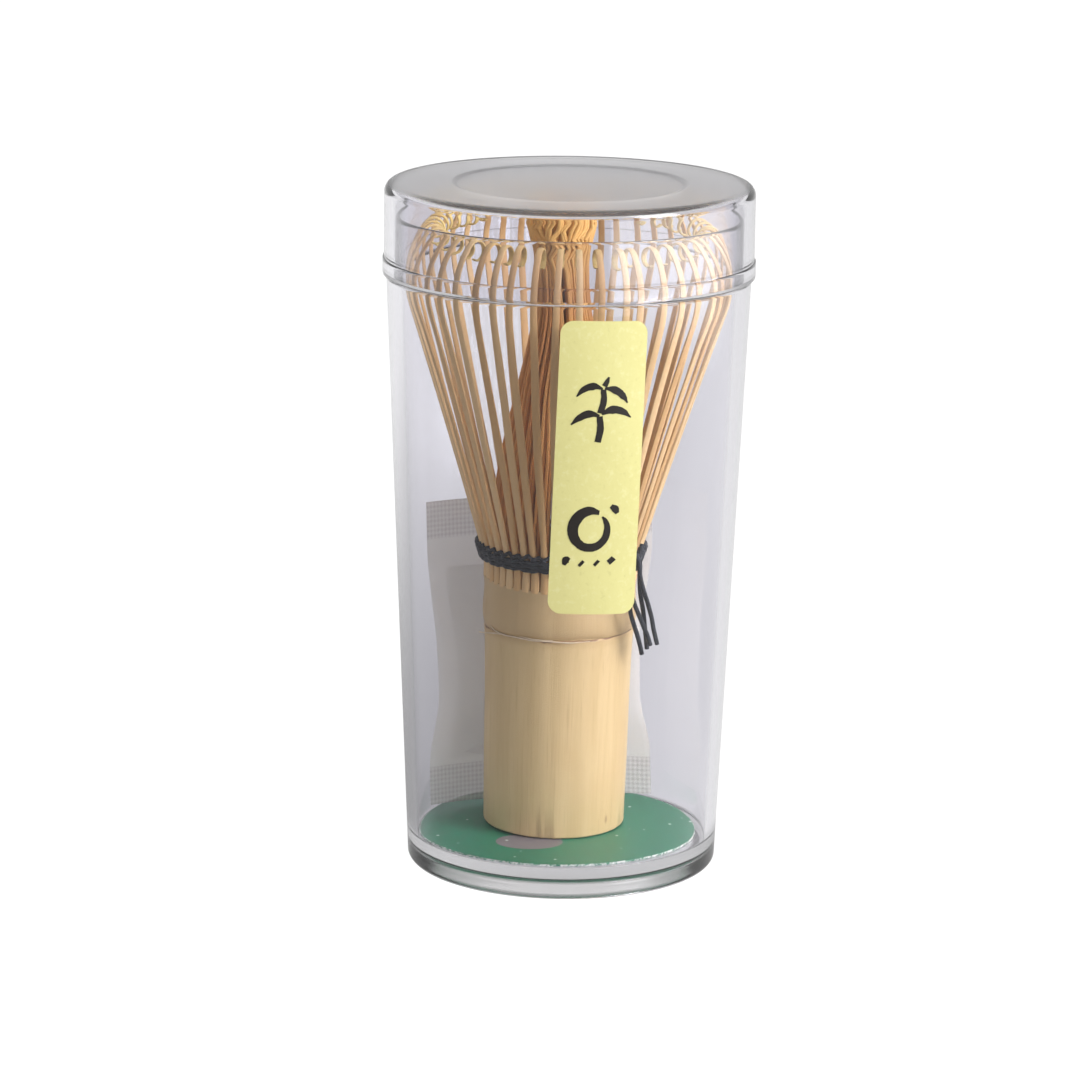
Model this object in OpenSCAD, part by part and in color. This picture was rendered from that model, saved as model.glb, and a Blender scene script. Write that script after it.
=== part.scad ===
// Bamboo tea whisk in its clear presentation case.
// +Z is up, the origin is the centre of the case's foot on the table, and the label faces -Y.

/* [Case] */
// Outer radius of the case at the table
case_foot_r = 26.8; // [26.5:0.1:32]
// Height of the clear floor's upper face above the table
floor_z = 5.4; // [4.5:0.1:8]
// Thickness of the clear floor
floor_t = 2.6; // [1.6:0.1:3]
// Thickness of the case wall at the floor
case_wall = 1.9; // [1.6:0.1:2.3]
// Radius on the case's bottom outer edge
foot_round = 1.4; // [0.5:0.1:1.8]
// Width of the foot ring that stands on the table
foot_ring_w = 2.8; // [2:0.1:3.4]
// Wall of the thin neck that the lid slides over
neck_wall = 0.8; // [0.6:0.1:1.4]
// Height of the neck above the shoulder
neck_h = 10.5; // [6:0.5:12]
// Width of the shoulder ledge under the lid
shoulder_w = 1.5; // [1.2:0.1:2]
// Gap between the neck and the lid all round
lid_gap = 0.2; // [0.15:0.05:0.4]

/* [Lid] */
// Thickness of the lid's skirt
lid_wall = 1.7; // [1.5:0.1:2.4]
// Thickness of the lid's flat top
lid_top_t = 1.7; // [1.4:0.1:2.4]
// Free height between the tuft of the whisk and the lid
headroom = 3.1; // [3:0.1:6]
// Height of the bead round the lid's lower rim
bead_h = 3; // [2:0.1:4]
// How far the bead stands out from the skirt
bead_proud = 0.25; // [0.1:0.05:0.5]
// Radius of the shallow round recess in the lid's top
recess_r = 19.4; // [14:0.1:22]
// Depth of that recess
recess_depth = 0.3; // [0.2:0.05:0.6]
// Radius of the round inside the lid's top corner
lid_corner = 1; // [0.5:0.1:2]

/* [Label and card] */
// Width of the paper label
label_w = 14.6; // [10:0.1:18]
// Height of the paper label
label_h = 50; // [40:0.5:56]
// Thickness of the paper label
label_t = 0.12; // [0.1:0.01:0.25]
// Corner radius of the label
label_corner = 2.2; // [1:0.1:3]
// Height of the label's middle above the table
label_z = 75.7; // [72:0.1:76]
// Turn of the label round the case from its front
label_turn = 10.2; // [-20:0.1:25]
// Small slant of the label as it was stuck on
label_slant = 1.4; // [-3:0.1:3]
// Gap between the base card's edge and the case wall
card_gap = 0.9; // [0.4:0.05:1.2]
// Thickness of the base card
card_t = 0.4; // [0.3:0.05:0.8]

/* [Desiccant sachet] */
// Width of the sachet from end to end, bent as it stands
sachet_w = 42.2; // [32:0.2:43]
// Height of the sachet
sachet_h = 55; // [44:0.5:58]
// Thickness of the sachet at its fullest
sachet_t = 4; // [3:0.1:4.4]
// Height of each crimped seal
seal_h = 7; // [5:0.5:9]
// Film thickness of the sachet
film_t = 0.25; // [0.2:0.05:0.4]

/* [Whisk handle] */
// Outer radius of the handle at its foot
handle_foot_r = 12.25; // [11:0.05:13]
// Outer radius of the handle at the slit roots
handle_top_r = 13.3; // [12.8:0.05:14]
// Height of the handle from its foot to the slit roots
handle_h = 45.9; // [40:0.1:56]
// Height of the bamboo's node line above the foot
knuckle_h = 35.6; // [30:0.1:37]
// Height of the swelling above the node line
swell_rise = 3; // [2.4:0.1:3.5]
// Wall thickness of the bamboo
culm_wall = 2.5; // [2:0.1:3]
// Thickness of the partition inside the bamboo at its node
partition_t = 2.2; // [1.6:0.1:3]

/* [Tines] */
// Number of outer tines, and of inner tines
tine_count = 48; // [40:8:48]
// Widest radius of the head
head_r = 28.05; // [24:0.05:32]
// Height of the widest point above the slit roots
widest_h = 51.2; // [46:0.1:56]
// Height of the tuft's top above the slit roots
tuft_h = 61.9; // [60:0.1:72]
// Width of an outer tine
outer_w = 1.1; // [0.9:0.05:1.15]
// Thickness of an outer tine at its root
outer_root_t = 1; // [0.8:0.05:1.2]
// Thickness of an outer tine at its curled tip
outer_tip_t = 0.5; // [0.4:0.05:0.6]
// Radius of the bend from the splayed run to the widest point
splay_bend_r = 18; // [12:0.5:26]
// Radius of the shoulder bend above the widest point
shoulder_bend_r = 11; // [9:0.5:13]
// Radius of the curled tip
curl_r = 2; // [1.7:0.05:2.4]
// Width of an inner tine
inner_w = 0.42; // [0.36:0.01:0.44]
// Thickness of an inner tine
inner_t = 0.9; // [0.7:0.05:1]
// Radius of the gathered bundle at its waist, to the middle of its tines
waist_r = 4.2; // [4:0.05:5]
// Radius of the tuft at the top, to the middle of its tines
tuft_r = 5.7; // [4.6:0.05:6.5]

/* [Binding thread] */
// Diameter of the thread
thread_d = 0.8; // [0.6:0.05:1]
// Number of rows of thread in the band
thread_rows = 4; // [3:1:5]

/* [Fit in the case] */
// Lean of the whisk towards the back of the case
lean_back = 1.5; // [0:0.05:1.7]
// Lean of the whisk's foot towards the left
lean_left = 0.85; // [0:0.05:1]
// Clearance between the head's widest circle and the case wall round it
head_gap = 0.4; // [0.35:0.05:1.5]
// Gap left between faces that only rest on each other
rest_gap = 0.05; // [0.02:0.01:0.1]

/* [Hidden] */
$fn = 96;
sectors = 8;

// The whisk leans about the middle of its head, so its foot drops on one side by this much.
lean_total = sqrt(lean_back * lean_back + lean_left * lean_left);
card_top = floor_z + rest_gap + card_t;
foot_z = card_top + rest_gap + handle_foot_r * sin(lean_total);
slit_z = foot_z + handle_h;
knuckle_z = foot_z + knuckle_h;
widest_z = slit_z + widest_h;
tuft_z = slit_z + tuft_h;

// The case is as tall as the whisk needs, and its mouth is as wide.
lid_under_z = tuft_z + headroom;
lid_top_z = lid_under_z + lid_top_t;
rim_z = lid_under_z - headroom - 0.5;
shoulder_z = rim_z - neck_h;

// The bore tapers from the floor to the mouth, and clears the head where it is widest.
wide_share = (widest_z - floor_z) / (rim_z - floor_z);
floor_share = floor_z / shoulder_z;
floor_at_foot = case_foot_r * (1 - floor_share) + (neck_wall + shoulder_w) * floor_share - case_wall;
mouth_r = (head_r + head_gap - floor_at_foot * (1 - wide_share)) / (wide_share + floor_share * (1 - wide_share));
neck_r = mouth_r + neck_wall;
shoulder_r = neck_r + shoulder_w;
skirt_in_r = neck_r + lid_gap;
skirt_r = skirt_in_r + lid_wall;
floor_in_r = case_r(floor_z) - case_wall;

// Outer and inner radius of the tapered case at a height.
function case_r(z) = case_foot_r + (shoulder_r - case_foot_r) * z / shoulder_z;
function bore_r(z) = floor_in_r + (mouth_r - floor_in_r) * (z - floor_z) / (rim_z - floor_z);

// Points of an arc from angle a0 to a1 in n steps.
function arc(c, r, a0, a1, n) = [for (i = [0 : n]) let (a = a0 + (a1 - a0) * i / n) c + r * [cos(a), sin(a)]];
function smooth(u) = u <= 0 ? 0 : u >= 1 ? 1 : u * u * (3 - 2 * u);

/* Case body: a tapered clear tub with a raised floor, a foot ring and a neck. */
module case_body() {
    foot_in_r = case_foot_r - foot_ring_w;
    corner_r = 0.3;
    color([0.86, 0.86, 0.9, 0.35])
    rotate_extrude($fn = 180)
    polygon(concat(
        [[0, floor_z - floor_t], [foot_in_r - 1, floor_z - floor_t], [foot_in_r, 0]],
        arc([case_foot_r - foot_round, foot_round], foot_round, -90, 0, 6),
        [[shoulder_r, shoulder_z], [neck_r, shoulder_z], [neck_r, rim_z - 0.3],
         [neck_r - 0.3, rim_z], [mouth_r, rim_z], [bore_r(floor_z + corner_r), floor_z + corner_r]],
        arc([floor_in_r - corner_r, floor_z + corner_r], corner_r, 0, -90, 5),
        [[0, floor_z]]));
}

/* Case lid: a clear cap whose skirt slides over the neck, with a bead at its rim. */
module case_lid() {
    rim = shoulder_z + rest_gap * 2;
    middle = [skirt_in_r - lid_corner, lid_under_z - lid_corner];
    outer_round = [for (a = [0 : 10 : 90])
        middle + [(lid_corner + lid_wall) * cos(a), (lid_corner + lid_top_t) * sin(a)]];
    color([0.86, 0.86, 0.9, 0.35])
    rotate_extrude($fn = 180)
    polygon(concat(
        [[0, lid_under_z]],
        arc(middle, lid_corner, 90, 0, 5),
        [[skirt_in_r, rim + 0.5], [skirt_in_r + 0.5, rim], [skirt_r + bead_proud - 0.3, rim]],
        arc([skirt_r + bead_proud - 0.4, rim + 0.4], 0.4, -60, 0, 3),
        [[skirt_r + bead_proud, rim + bead_h - bead_proud], [skirt_r, rim + bead_h]],
        outer_round,
        [[recess_r + recess_depth, lid_top_z], [recess_r, lid_top_z - recess_depth],
         [0, lid_top_z - recess_depth]]));
}

/* Paper label: a rounded slip cut from a thin shell that lies on the tapered wall. */
module label_outline() {
    for (sx = [-1, 1], sz = [-1, 1])
        translate([sx * (label_w / 2 - label_corner), sz * (label_h / 2 - label_corner)])
            circle(label_corner, $fn = 48);
    square([label_w - 2 * label_corner, label_h], center = true);
    square([label_w, label_h - 2 * label_corner], center = true);
}

module front_label() {
    gap = 0.02;
    low = label_z - label_h / 2 - 2;
    high = label_z + label_h / 2 + 2;
    color([0.93, 0.92, 0.62])
    rotate([0, 0, label_turn])
    intersection() {
        rotate_extrude($fn = 180)
            polygon([[case_r(low) + gap, low], [case_r(low) + gap + label_t, low],
                     [case_r(high) + gap + label_t, high], [case_r(high) + gap, high]]);
        translate([0, 0, label_z])
            rotate([90, 0, 0])
            rotate([0, 0, -label_slant])
            linear_extrude(height = shoulder_r + 5)
            label_outline();
    }
}

/* Base card: a printed green disc that lies loose on the floor, against the wall on the left. */
module base_card() {
    shift = card_gap - 0.2;
    color([0.25, 0.55, 0.42])
    translate([-shift, 0, floor_z + rest_gap])
        cylinder(r = floor_in_r - card_gap, h = card_t, $fn = 180);
}

/* The whisk and everything on it lean together about the middle of the head. */
module leaning() {
    translate([0, 0, widest_z]) rotate([lean_back, lean_left, 0]) translate([0, 0, -widest_z]) children();
}

/* Handle: a length of bamboo with its node, hollow below and above the partition. */
module whisk_handle() {
    swell_r = handle_top_r + 0.05;
    waist = handle_foot_r + 0.5;
    bore = handle_foot_r - culm_wall;
    cup = handle_top_r - culm_wall;
    color([0.85, 0.75, 0.55])
    leaning() rotate_extrude($fn = 120)
    polygon(concat(
        [[bore, foot_z], [handle_foot_r - 0.2, foot_z], [handle_foot_r, foot_z + 0.2]],
        [[waist, knuckle_z - 2.4], [waist + 0.15, knuckle_z - 0.5], [waist + 0.05, knuckle_z],
         [swell_r - 0.15, knuckle_z + swell_rise - 1.6], [swell_r, knuckle_z + swell_rise],
         [swell_r - 0.25, knuckle_z + swell_rise + 3.6], [handle_top_r, slit_z], [cup, slit_z]],
        arc([cup - 1.5, knuckle_z + partition_t + 1.5], 1.5, 0, -90, 4),
        [[0, knuckle_z + partition_t], [0, knuckle_z]],
        arc([bore - 2, knuckle_z - 2], 2, 90, 0, 5)));
}

// The angle at which the outer tines splay, so that a straight run meets the bend below the widest point.
root_r = handle_top_r - outer_root_t / 2;
wide_r = head_r - outer_tip_t / 2 - 0.1;
function splay(a, n) = n == 0 ? a : splay(atan(
    (wide_r - root_r - splay_bend_r * (1 - cos(a))) / (widest_h - root_run - splay_bend_r * sin(a))), n - 1);
root_run = 1.2;
splay_a = splay(17, 8);

// A tine's middle line is marched from its root: each step is [length, turn inward in degrees, parts].
steps = [
    [root_run * 0.6, 0, 1],
    [root_run * 0.8, -splay_a, 2],
    [(wide_r - root_r - splay_bend_r * (1 - cos(splay_a))) / sin(splay_a), 0, 1],
    [splay_bend_r * splay_a * PI / 180, splay_a, 4],
    [shoulder_bend_r * 42 * PI / 180, 42, 5],
    [curl_r * 138 * PI / 180, 138, 7],
    [curl_r * 0.72 * 130 * PI / 180, 130, 6]];
small = [for (s = steps) for (k = [1 : s[2]]) [s[0] / s[2], s[1] / s[2]]];
function march(p, i) = i == len(small) ? [p] :
    let (run = small[i][0], bend = small[i][1], mid = p[2] + bend / 2)
    concat([p], march([p[0] - run * sin(mid), p[1] + run * cos(mid), p[2] + bend], i + 1));
outer_line = march([root_r, slit_z, 0], 0);

// The outline stands half a thickness to each side of the middle line, thinner towards the tip.
function outer_half(i) = (outer_root_t + (outer_tip_t - outer_root_t) * smooth((i - 2) / 6)) / 2;
function side(s) = [for (i = [0 : len(outer_line) - 1]) let (p = outer_line[i])
    [p[0] + s * outer_half(i) * cos(p[2]), p[1] + s * outer_half(i) * sin(p[2])]];
function backwards(v) = [for (i = [len(v) - 1 : -1 : 0]) v[i]];

module outer_tines(sector) {
    share = tine_count / sectors;
    outline = concat(side(1), backwards(side(-1)));
    color([0.86, 0.7, 0.48])
    leaning() for (k = [0 : share - 1])
        rotate([0, 0, 360 / tine_count * ((sector - 1) * share + k + 0.5) - 90])
            rotate([90, 0, 0]) linear_extrude(height = outer_w, center = true) polygon(outline);
}

// An inner tine leans in to the bundle's waist and opens again into the tuft.
inner_root_r = handle_top_r - culm_wall / 2 - 0.15;
waist_z = widest_z + 1.5;
function inner_mid(z) =
    waist_r + (inner_root_r - waist_r) * (1 - smooth(pow((z - slit_z) / (waist_z - slit_z - 3), 1.3)))
    + (tuft_r - waist_r) * smooth((z - waist_z) / (tuft_z - waist_z));
inner_rows = 18;
function inner_side(s) = [for (i = [0 : inner_rows]) let (z = slit_z + tuft_h * i / inner_rows)
    [inner_mid(z) + s * inner_t / 2, z]];

module inner_tines(sector) {
    share = tine_count / sectors;
    outline = concat(inner_side(1), backwards(inner_side(-1)));
    color([0.68, 0.45, 0.22])
    leaning() for (k = [0 : share - 1])
        rotate([0, 0, 360 / tine_count * ((sector - 1) * share + k + 1) - 90])
            rotate([90, 0, 0]) linear_extrude(height = inner_w, center = true) polygon(outline);
}

/* Binding thread: rows that lie round the roots of the outer tines, just above the slit roots. */
row_rise = thread_d * 0.88;
band_z = slit_z + root_run + 0.6;
band_top_z = band_z + (thread_rows - 1) * row_rise;
function tine_back_r(z) = handle_top_r + (z - slit_z - root_run) * tan(splay_a) + 0.1;

module binding_thread() {
    color([0.2, 0.21, 0.24])
    leaning() rotate_extrude($fn = 120)
    for (k = [0 : thread_rows - 1])
        translate([tine_back_r(band_z + k * row_rise) + thread_d / 2, band_z + k * row_rise])
            circle(thread_d / 2, $fn = 24);
}

/* Desiccant sachet: a filled pouch that stands on the card behind the whisk, clear of the handle and tines. */
handle_reach = max(handle_foot_r + (widest_z - foot_z) * sin(lean_total),
                   handle_top_r + 0.05 + (widest_z - knuckle_z) * sin(lean_total));
sachet_top_z = card_top + rest_gap + sachet_h;
tine_reach = tine_back_r(sachet_top_z) + (widest_z - sachet_top_z) * sin(lean_total);
sachet_back = max(handle_reach + sachet_t / 2 + 0.35, tine_reach + film_t + 0.2);
sachet_half = min(sachet_w / 2, floor_in_r - 1.5);
wall_reach = floor_in_r - film_t - 0.3;
bow_rise = max(0.4, sachet_back - sqrt(pow(wall_reach, 2) - pow(sachet_half, 2)));
bow_r = (pow(sachet_half, 2) + pow(bow_rise, 2)) / (2 * bow_rise);
bow_a = asin(sachet_half / bow_r);
bow_parts = 28;
puff_h = sachet_h - 2 * seal_h;

// Its outlines follow one arc, and stand off it by `edge` at the ends and by half of t in the middle.
function bow(a, edge, t) = [for (i = [0 : bow_parts]) let (q = 2 * i / bow_parts - 1)
    (bow_r + edge + (t / 2 - edge) * (1 - q * q)) * [sin(a * q), cos(a * q)]];
module pouch_outline(a, edge, t) {
    polygon(concat(bow(a, edge, t), backwards(bow(a, -edge, -t))));
}

module behind_whisk(z) {
    turn = 17;
    rotate([0, 0, turn]) translate([0, sachet_back - bow_r, card_top + rest_gap + z]) children();
}

module desiccant_sachet() {
    side_seam = 3;
    room_t = sachet_t - 2 * film_t;
    color([0.88, 0.88, 0.86])
    difference() {
        union() {
            behind_whisk(seal_h) linear_extrude(height = puff_h) pouch_outline(bow_a, film_t, sachet_t);
            for (z = [0, sachet_h - seal_h])
                behind_whisk(z) linear_extrude(height = seal_h) pouch_outline(bow_a, film_t, 2 * film_t);
        }
        behind_whisk(seal_h + film_t)
            linear_extrude(height = puff_h - 2 * film_t)
            pouch_outline(bow_a * (1 - side_seam / sachet_half), 0.1, room_t);
    }
}

module desiccant_fill() {
    side_room = 4;
    slack = 0.1;
    headspace = 4;
    fill_t = sachet_t - 2 * film_t - 2 * slack;
    color([0.8, 0.8, 0.78])
    behind_whisk(seal_h + film_t + slack)
        linear_extrude(height = puff_h - 2 * film_t - headspace)
        pouch_outline(bow_a * (1 - side_room / sachet_half), 0.05, fill_t);
}

/* Knot: a small turn of thread that lies on the band near the front right. */
knot_turn = 52;
knot_out = tine_back_r(band_top_z) + thread_d * 1.5 + 0.1;
module thread_knot() {
    color([0.2, 0.21, 0.24])
    leaning() rotate([0, 0, knot_turn - 90]) translate([knot_out, 0, band_z + thread_d])
        rotate([0, 90, 0]) rotate_extrude($fn = 48)
        translate([thread_d * 0.55, 0]) circle(thread_d / 2, $fn = 24);
}

/* Thread ends: each length hangs over the knot by its middle, with both cut ends down. */
end_route_front = [
    [13.3, -6.7, 38.5], [12.9, -7.3, 40.4], [12.4, -7.9, 42.3], [11.8, -8.5, 44.2], [11.3, -9, 46],
    [11, -9.3, 48.2], [10.8, -9.5, 50.4], [10.6, -9.7, 52.6], [10.5, -9.8, 54.6], [10.8, -9.4, 55.8],
    [11.6, -8.4, 56.4], [12.4, -7.3, 55.8], [12.7, -6.9, 54.6], [12.7, -7, 52], [12.9, -6.9, 49.2],
    [13.4, -6.5, 46.2], [13.8, -6.1, 42.8], [14.2, -5.8, 39.2]];
end_route_rear = [
    [14.7, -7.1, 40.2], [14.2, -7.5, 41.9], [13.6, -8, 43.4], [12.9, -8.8, 45.3], [12.2, -9.6, 47.1],
    [11.4, -10.5, 49.4], [10.6, -11.1, 52], [10.2, -11.3, 54.8], [10.5, -11, 56], [11.3, -10, 56.6],
    [12.2, -9, 56], [12.5, -8.6, 54.8], [12.7, -8.7, 53], [13.3, -8.4, 50.4], [14.1, -7.6, 47.8],
    [14.8, -7.1, 45.2], [15.3, -6.6, 42.6], [15.9, -6, 40.1]];
tube_sides = 8;
function unit(v) = v / norm(v);
function heading(p, i) = unit(p[min(i + 1, len(p) - 1)] - p[max(i - 1, 0)]);

// A tube swept along a route, each ring square to the route there.
module tube(p, d) {
    n = len(p);
    points = [for (i = [0 : n - 1])
        let (t = heading(p, i), u = unit(cross(t, [1, 0.001, 0])), v = cross(t, u))
        for (k = [0 : tube_sides - 1]) let (a = 360 * k / tube_sides)
            p[i] + d / 2 * (u * cos(a) + v * sin(a))];
    walls = [for (i = [0 : n - 2]) for (k = [0 : tube_sides - 1])
        let (a = i * tube_sides + k, b = i * tube_sides + (k + 1) % tube_sides)
        for (f = [[a, a + tube_sides, b + tube_sides], [a, b + tube_sides, b]]) f];
    caps = [[for (k = [0 : tube_sides - 1]) k],
            [for (k = [tube_sides - 1 : -1 : 0]) (n - 1) * tube_sides + k]];
    polyhedron(points, concat(walls, caps), convexity = 4);
}

module thread_end_front() {
    color([0.2, 0.21, 0.24]) tube(end_route_front, thread_d);
}

module thread_end_rear() {
    color([0.2, 0.21, 0.24]) tube(end_route_rear, thread_d);
}

case_body();
case_lid();
front_label();
base_card();
desiccant_sachet();
desiccant_fill();
whisk_handle();
binding_thread();
thread_knot();
thread_end_front();
thread_end_rear();
for (i = [1 : sectors]) outer_tines(i);
for (i = [1 : sectors]) inner_tines(i);
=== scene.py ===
import math
import random

import bpy
from mathutils import Matrix, Vector, noise


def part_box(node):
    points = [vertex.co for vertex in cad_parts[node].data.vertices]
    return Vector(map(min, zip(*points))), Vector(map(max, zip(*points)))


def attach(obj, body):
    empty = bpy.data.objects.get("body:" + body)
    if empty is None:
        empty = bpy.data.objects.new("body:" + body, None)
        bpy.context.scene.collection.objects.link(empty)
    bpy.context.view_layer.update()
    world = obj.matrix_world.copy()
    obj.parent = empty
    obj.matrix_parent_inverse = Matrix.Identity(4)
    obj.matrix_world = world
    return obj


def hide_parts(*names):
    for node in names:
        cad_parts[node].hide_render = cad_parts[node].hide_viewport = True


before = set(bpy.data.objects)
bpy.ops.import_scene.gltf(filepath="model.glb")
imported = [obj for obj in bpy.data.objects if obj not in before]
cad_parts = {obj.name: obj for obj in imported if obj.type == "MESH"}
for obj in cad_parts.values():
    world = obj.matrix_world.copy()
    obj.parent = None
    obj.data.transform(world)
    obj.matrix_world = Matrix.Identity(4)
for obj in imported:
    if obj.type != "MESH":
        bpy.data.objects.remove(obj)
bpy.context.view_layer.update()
mm = 0.001
print("frame loaded:", len(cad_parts), "nodes")


def selectNone():
    if bpy.context.mode != "OBJECT":
        bpy.ops.object.mode_set(mode="OBJECT")
    bpy.ops.object.select_all(action="DESELECT")


def selectOnly(*pieces):
    selectNone()
    for piece in pieces:
        piece.select_set(True)
    bpy.context.view_layer.objects.active = pieces[0]


def settle(piece):
    selectOnly(piece)
    bpy.ops.object.transform_apply(location=True, rotation=True, scale=True)
    return piece


def joinAll(pieces, name):
    selectOnly(*pieces)
    if len(pieces) > 1:
        bpy.ops.object.join()
    pieces[0].name = name
    pieces[0].data.name = name
    return pieces[0]


def smooth(piece, degrees):
    selectOnly(piece)
    bpy.ops.object.shade_smooth_by_angle(angle=math.radians(degrees))


def place(piece, body, slotName, material, *nodes):
    piece.data.materials.clear()
    piece.data.materials.append(material)
    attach(piece, body)
    if nodes:
        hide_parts(*nodes)
    return piece


def arcOf(centreR, centreZ, radius, start, end, parts):
    turns = [math.radians(start + (end - start) * i / parts) for i in range(parts + 1)]
    return [(centreR + radius * math.cos(a), centreZ + radius * math.sin(a)) for a in turns]


def braced(outline, size):
    # two more points beside the ends of each long stretch keep its shading flat
    points = [outline[0]]
    for a, b in zip(outline, outline[1:]):
        reach = math.hypot(b[0] - a[0], b[1] - a[1])
        if reach > 4 * size:
            for part in (size / reach, 1 - size / reach):
                points.append((a[0] + (b[0] - a[0]) * part, a[1] + (b[1] - a[1]) * part))
        points.append(b)
    return points


def spinOutline(name, outline, steps):
    # walks one vertex round the outline, in millimetres, and spins it about the upright axis
    selectNone()
    bpy.ops.mesh.primitive_plane_add(size=mm, location=(outline[0][0] * mm, 0, outline[0][1] * mm))
    piece = bpy.context.object
    bpy.ops.object.mode_set(mode="EDIT")
    bpy.ops.mesh.merge(type="CENTER")
    for a, b in zip(outline, outline[1:]):
        step = ((b[0] - a[0]) * mm, 0, (b[1] - a[1]) * mm)
        bpy.ops.mesh.extrude_region_move(TRANSFORM_OT_translate={"value": step})
    bpy.ops.mesh.select_all(action="SELECT")
    bpy.ops.mesh.remove_doubles(threshold=1e-6)
    bpy.ops.mesh.spin(steps=steps, angle=2 * math.pi, center=(0, 0, 0), axis=(0, 0, 1), use_auto_merge=True)
    bpy.ops.mesh.select_all(action="SELECT")
    bpy.ops.mesh.remove_doubles(threshold=2e-6)
    bpy.ops.mesh.normals_make_consistent(inside=False)
    bpy.ops.object.mode_set(mode="OBJECT")
    piece.name = name
    return settle(piece)


def curveTube(name, lines, radius, cyclic=False, resolution=6, rounds=2):
    # one round tube along each line of points, in metres, with a radius factor as a fourth number
    curve = bpy.data.curves.new(name, "CURVE")
    curve.dimensions = "3D"
    curve.bevel_depth = radius
    curve.bevel_resolution = rounds
    curve.resolution_u = resolution
    curve.use_fill_caps = True
    for line in lines:
        spline = curve.splines.new("BEZIER")
        spline.bezier_points.add(len(line) - 1)
        spline.use_cyclic_u = cyclic
        for knot, point in zip(spline.bezier_points, line):
            knot.co = point[:3]
            knot.radius = point[3] if len(point) > 3 else 1
            knot.handle_left_type = knot.handle_right_type = "AUTO"
    piece = bpy.data.objects.new(name, curve)
    bpy.context.scene.collection.objects.link(piece)
    return piece


def asMesh(piece):
    selectOnly(piece)
    bpy.ops.object.convert(target="MESH")
    return piece


def ease(u):
    u = min(1, max(0, u))
    return u * u * (3 - 2 * u)


def shade(red, green, blue):
    # a screen colour from 0 to 255 as the shader's linear colour
    def part(c):
        c /= 255
        return c / 12.92 if c <= 0.04045 else ((c + 0.055) / 1.055) ** 2.4
    return (part(red), part(green), part(blue), 1)


viewing = {
    "eye": (0, -0.758, 0.237),
    "aim": (0, 0, 0.060),
    "roll": 0.81,       # degrees
    "lens": 150.6,
    "shift": (-0.0236, -0.018),
}


def addCamera():
    data = bpy.data.cameras.new("camera")
    camera = bpy.data.objects.new("camera", data)
    bpy.context.scene.collection.objects.link(camera)
    look = Vector(viewing["aim"]) - Vector(viewing["eye"])
    turn = look.to_track_quat("-Z", "Y").to_matrix().to_4x4()
    camera.matrix_world = (Matrix.Translation(viewing["eye"]) @ turn
                           @ Matrix.Rotation(math.radians(viewing["roll"]), 4, "Z"))
    data.lens = viewing["lens"]
    data.sensor_width = 36
    data.shift_x, data.shift_y = viewing["shift"]
    data.clip_start, data.clip_end = 0.01, 20
    bpy.context.scene.camera = camera


addCamera()
print("camera ready")


# shader maths
class Wire:
    # one socket of a material, with the arithmetic written as Python
    def __init__(self, paint, socket):
        self.paint, self.socket = paint, socket

    def maths(self, operation, a, b=0):
        return self.paint.node("ShaderNodeMath", {"operation": operation}, {0: a, 1: b})

    def __add__(self, other):
        return self.maths("ADD", self, other)

    def __sub__(self, other):
        return self.maths("SUBTRACT", self, other)

    def __rsub__(self, other):
        return self.maths("SUBTRACT", other, self)

    def __mul__(self, other):
        return self.maths("MULTIPLY", self, other)

    def __truediv__(self, other):
        return self.maths("DIVIDE", self, other)

    def __pow__(self, other):
        return self.maths("POWER", self, other)

    __radd__ = __add__
    __rmul__ = __mul__

    def between(self, low, high):
        # 0 below low, 1 above high, with a soft step between
        return self.paint.node("ShaderNodeMapRange", {"interpolation_type": "SMOOTHSTEP"},
                               {"Value": self, "From Min": low, "From Max": high})


class Paint:
    def __init__(self, name, **constants):
        self.material = bpy.data.materials.new(name)
        self.material.use_nodes = True
        self.tree = self.material.node_tree
        self.shader = self.tree.nodes["Principled BSDF"]
        for key, value in constants.items():
            self.shader.inputs[key.replace("_", " ")].default_value = value

    def node(self, kind, settings=None, inputs=None, out=0):
        made = self.tree.nodes.new(kind)
        for key, value in (settings or {}).items():
            setattr(made, key, value)
        for key, value in (inputs or {}).items():
            self.feed(made.inputs[key], value)
        return Wire(self, made.outputs[out])

    def feed(self, socket, value):
        if isinstance(value, Wire):
            self.tree.links.new(value.socket, socket)
        else:
            socket.default_value = value

    def set(self, name, value):
        self.feed(self.shader.inputs[name], value)

    def place(self):
        return self.node("ShaderNodeTexCoord", out="Object")

    def attribute(self, name, out="Vector"):
        return self.node("ShaderNodeAttribute", {"attribute_name": name}, out=out)

    def stretch(self, where, factors):
        return self.node("ShaderNodeVectorMath", {"operation": "MULTIPLY"}, {0: where, 1: factors})

    def axis(self, where, letter):
        return self.node("ShaderNodeSeparateXYZ", inputs={0: where}, out=letter)

    def grain(self, where, size, detail=2, roughness=0.5):
        return self.node("ShaderNodeTexNoise", inputs={
            "Vector": where, "Scale": size, "Detail": detail, "Roughness": roughness})

    def cells(self, where, size):
        return self.node("ShaderNodeTexVoronoi", inputs={"Vector": where, "Scale": size}, out="Distance")

    def mix(self, mask, a, b):
        return self.node("ShaderNodeMix", {"data_type": "RGBA"}, {0: mask, 6: a, 7: b}, out=2)

    def relief(self, height, strength, distance):
        bump = self.node("ShaderNodeBump", inputs={"Strength": strength, "Distance": distance, "Height": height})
        self.set("Normal", bump)


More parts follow.
